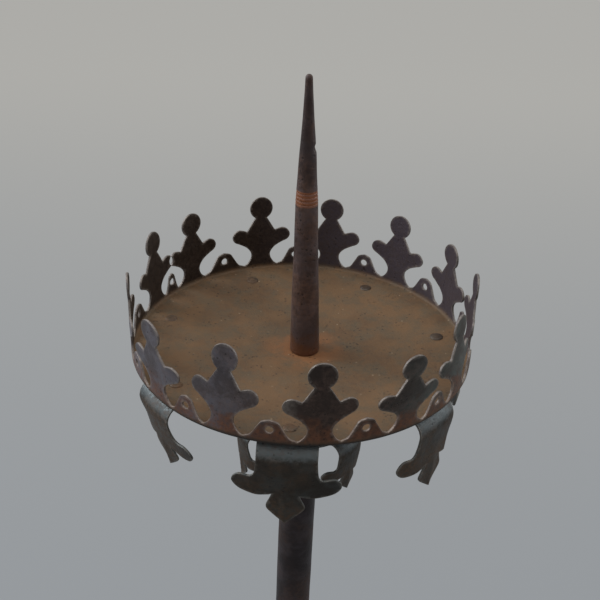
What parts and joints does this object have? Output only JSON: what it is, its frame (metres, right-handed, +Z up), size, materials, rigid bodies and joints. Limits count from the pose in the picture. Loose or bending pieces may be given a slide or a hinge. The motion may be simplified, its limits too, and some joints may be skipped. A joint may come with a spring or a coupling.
{
  "type": "pricket candlestick",
  "caption": "Wrought iron pricket candlestick: round stem on a tripod, dished pan with a cut-out crown, hanging leaves and a tall spike.",
  "frame": {"origin": "on the floor, on the stem's axis, midway between the three feet", "axes": "+Z up along the stem, -Y towards the front rim leaf and the first leg"},
  "size_m": [0.2834, 0.2516, 0.7601],
  "materials": {
    "pan_iron": "rusty brown hammered sheet with a grey bloom",
    "spike_iron": "dark forged bar with brown rust",
    "stem_iron": "dark waxed forged bar",
    "leaf_iron": "dark sheet, blue-grey where it faces up",
    "rivet_iron": "dull hammered heads",
    "base_iron": "dark waxed forged bar"
  },
  "bodies": {
    "root": {"stem": "stem_iron", "spike": "spike_iron", "tenon_pin": "rivet_iron", "drip_pan": "pan_iron", "rim_leaf_1": "leaf_iron", "rim_leaf_2": "leaf_iron", "rim_leaf_3": "leaf_iron", "rim_leaf_4": "leaf_iron", "rim_leaf_5": "leaf_iron", "rim_leaf_6": "leaf_iron", "rim_leaf_7": "leaf_iron", "rim_rivets": "rivet_iron", "lower_plate": "leaf_iron", "lower_leaf_1": "leaf_iron", "lower_leaf_2": "leaf_iron", "lower_leaf_3": "leaf_iron", "lower_rivets": "rivet_iron", "lower_collar": "stem_iron", "leg_1": "base_iron", "leg_2": "base_iron", "leg_3": "base_iron", "leg_rivets": "rivet_iron", "leg_collar": "base_iron"}
  },
  "joints": []
}
